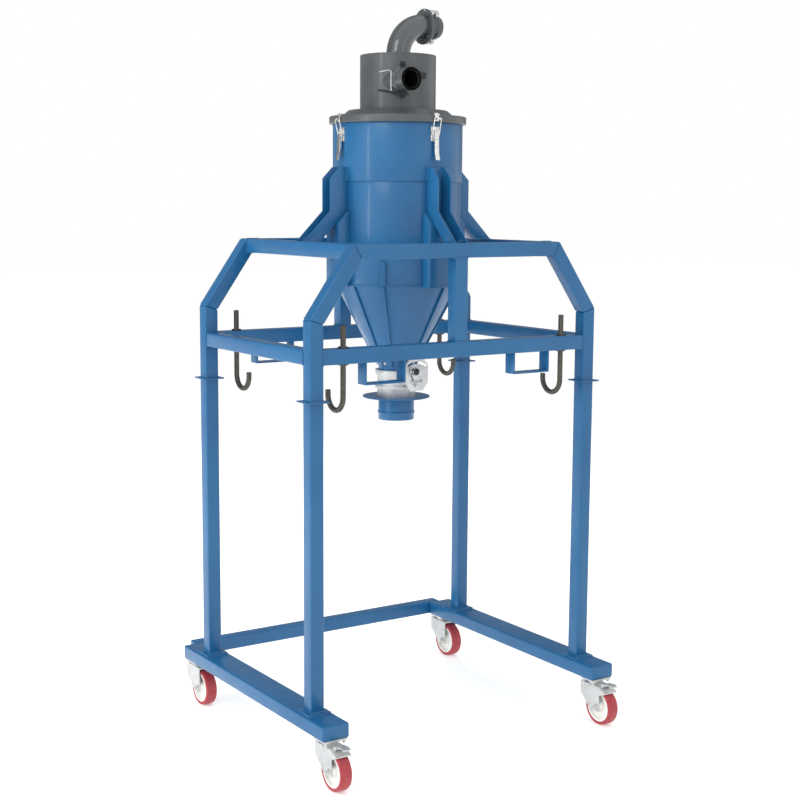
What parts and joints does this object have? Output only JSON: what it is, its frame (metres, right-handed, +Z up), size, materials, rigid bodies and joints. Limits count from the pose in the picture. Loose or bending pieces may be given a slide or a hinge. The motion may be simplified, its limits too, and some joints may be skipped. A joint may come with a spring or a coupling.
{
  "type": "cyclone separator",
  "caption": "Cyclone separator with a latched lid, cone and throttle valve over a bag spout, carried in a wheeled steel frame with hooks for a bulk bag.",
  "frame": {"origin": "on the floor, at the middle of the footprint's bounding box", "axes": "+Z up, +X to the right along the open front, -Y out of the front where the bag goes in"},
  "size_m": [1.47, 1.382, 3.0675],
  "materials": {
    "blue_paint": "gloss sky-blue powder coat",
    "grey_paint": "satin dark grey powder coat",
    "hook_steel": "dark blackened steel rod",
    "zinc_steel": "bright zinc-plated pressed steel",
    "latch_steel": "stainless steel",
    "cast_aluminium": "bare cast aluminium",
    "red_tread": "cast red polyurethane",
    "wheel_core": "white cast nylon",
    "black_plastic": "moulded black plastic"
  },
  "bodies": {
    "root": {"base_beams": "blue_paint", "base_cross_beam": "blue_paint", "posts": "blue_paint", "post_foot_plates": "blue_paint", "post_guide_plates": "blue_paint", "portal_slants": "blue_paint", "top_beams_cross": "blue_paint", "top_beams_side": "blue_paint", "mid_beams_cross": "blue_paint", "mid_beams_side": "blue_paint", "centre_posts": "blue_paint", "fork_pockets": "blue_paint", "bag_hooks": "hook_steel", "drum_upper": "blue_paint", "drum_lower": "blue_paint", "cone": "blue_paint", "cone_ribs": "blue_paint", "drum_ribs": "blue_paint", "drum_pads": "blue_paint", "brackets": "blue_paint", "lid": "grey_paint", "hood_shell": "grey_paint", "hood_top": "grey_paint", "outlet_elbow": "grey_paint", "outlet_coupling": "grey_paint", "inlet_pipe": "grey_paint", "inlet_coupling": "grey_paint", "latch_catches": "latch_steel", "latch_bases": "latch_steel", "valve_body": "cast_aluminium", "bag_plate": "blue_paint", "bag_spout": "blue_paint", "castor_mounts": "zinc_steel"},
    "castor_front_left": {"castor_fork_front_left": "zinc_steel"},
    "wheel_front_left": {"castor_wheel_front_left": "red_tread"},
    "pedal_front_left": {"brake_pedal_front_left": "zinc_steel"},
    "castor_front_right": {"castor_fork_front_right": "zinc_steel"},
    "wheel_front_right": {"castor_wheel_front_right": "red_tread"},
    "pedal_front_right": {"brake_pedal_front_right": "zinc_steel"},
    "castor_rear_left": {"castor_fork_rear_left": "zinc_steel"},
    "wheel_rear_left": {"castor_wheel_rear_left": "red_tread"},
    "castor_rear_right": {"castor_fork_rear_right": "zinc_steel"},
    "wheel_rear_right": {"castor_wheel_rear_right": "red_tread"},
    "lever_right": {"latch_lever_right": "latch_steel"},
    "bail_right": {"latch_bail_right": "latch_steel"},
    "lever_rear": {"latch_lever_rear": "latch_steel"},
    "bail_rear": {"latch_bail_rear": "latch_steel"},
    "lever_left": {"latch_lever_left": "latch_steel"},
    "bail_left": {"latch_bail_left": "latch_steel"},
    "lever_front": {"latch_lever_front": "latch_steel"},
    "bail_front": {"latch_bail_front": "latch_steel"},
    "valve_handle": {"valve_disc": "latch_steel", "valve_handle": "black_plastic"}
  },
  "joints": [
    {"name": "castor_swivel_front_left", "type": "hinge", "parent": "root", "child": "castor_front_left", "pos_m": [-0.675, -0.569, 0.173], "axis": [0, 0, 1], "continuous": true},
    {"name": "wheel_spin_front_left", "type": "hinge", "parent": "castor_front_left", "child": "wheel_front_left", "pos_m": [-0.675, -0.611, 0.08], "axis": [1, 0, 0], "continuous": true},
    {"name": "brake_front_left", "type": "hinge", "parent": "castor_front_left", "child": "pedal_front_left", "pos_m": [-0.675, -0.635, 0.179], "axis": [1, 0, 0], "range_deg": [0, 20]},
    {"name": "castor_swivel_front_right", "type": "hinge", "parent": "root", "child": "castor_front_right", "pos_m": [0.675, -0.569, 0.173], "axis": [0, 0, 1], "continuous": true},
    {"name": "wheel_spin_front_right", "type": "hinge", "parent": "castor_front_right", "child": "wheel_front_right", "pos_m": [0.675, -0.611, 0.08], "axis": [1, 0, 0], "continuous": true},
    {"name": "brake_front_right", "type": "hinge", "parent": "castor_front_right", "child": "pedal_front_right", "pos_m": [0.675, -0.635, 0.179], "axis": [1, 0, 0], "range_deg": [0, 20]},
    {"name": "castor_swivel_rear_left", "type": "hinge", "parent": "root", "child": "castor_rear_left", "pos_m": [-0.675, 0.591, 0.173], "axis": [0, 0, 1], "continuous": true},
    {"name": "wheel_spin_rear_left", "type": "hinge", "parent": "castor_rear_left", "child": "wheel_rear_left", "pos_m": [-0.675, 0.549, 0.08], "axis": [1, 0, 0], "continuous": true},
    {"name": "castor_swivel_rear_right", "type": "hinge", "parent": "root", "child": "castor_rear_right", "pos_m": [0.675, 0.591, 0.173], "axis": [0, 0, 1], "continuous": true},
    {"name": "wheel_spin_rear_right", "type": "hinge", "parent": "castor_rear_right", "child": "wheel_rear_right", "pos_m": [0.675, 0.549, 0.08], "axis": [1, 0, 0], "continuous": true},
    {"name": "latch_right", "type": "hinge", "parent": "root", "child": "lever_right", "pos_m": [0.288, 0.011, 2.54], "axis": [0, -1, 0], "range_deg": [0, 90]},
    {"name": "bail_right", "type": "hinge", "parent": "lever_right", "child": "bail_right", "pos_m": [0.284, 0.011, 2.526], "axis": [0, -1, 0], "range_deg": [-90, 5]},
    {"name": "latch_rear", "type": "hinge", "parent": "root", "child": "lever_rear", "pos_m": [0, 0.299, 2.54], "axis": [1, 0, 0], "range_deg": [0, 90]},
    {"name": "bail_rear", "type": "hinge", "parent": "lever_rear", "child": "bail_rear", "pos_m": [0, 0.295, 2.526], "axis": [1, 0, 0], "range_deg": [-90, 5]},
    {"name": "latch_left", "type": "hinge", "parent": "root", "child": "lever_left", "pos_m": [-0.288, 0.011, 2.54], "axis": [0, 1, 0], "range_deg": [0, 90]},
    {"name": "bail_left", "type": "hinge", "parent": "lever_left", "child": "bail_left", "pos_m": [-0.284, 0.011, 2.526], "axis": [0, 1, 0], "range_deg": [-90, 5]},
    {"name": "latch_front", "type": "hinge", "parent": "root", "child": "lever_front", "pos_m": [0, -0.277, 2.54], "axis": [-1, 0, 0], "range_deg": [0, 90]},
    {"name": "bail_front", "type": "hinge", "parent": "lever_front", "child": "bail_front", "pos_m": [0, -0.273, 2.526], "axis": [-1, 0, 0], "range_deg": [-90, 5]},
    {"name": "valve_turn", "type": "hinge", "parent": "root", "child": "valve_handle", "pos_m": [0, 0.011, 1.494], "axis": [0, 1, 0], "range_deg": [0, 60]}
  ],
  "couplings": [
    {"joint": "bail_right", "follows": "latch_right", "ratio": -0.834},
    {"joint": "bail_rear", "follows": "latch_rear", "ratio": -0.834},
    {"joint": "bail_left", "follows": "latch_left", "ratio": -0.834},
    {"joint": "bail_front", "follows": "latch_front", "ratio": -0.834}
  ]
}
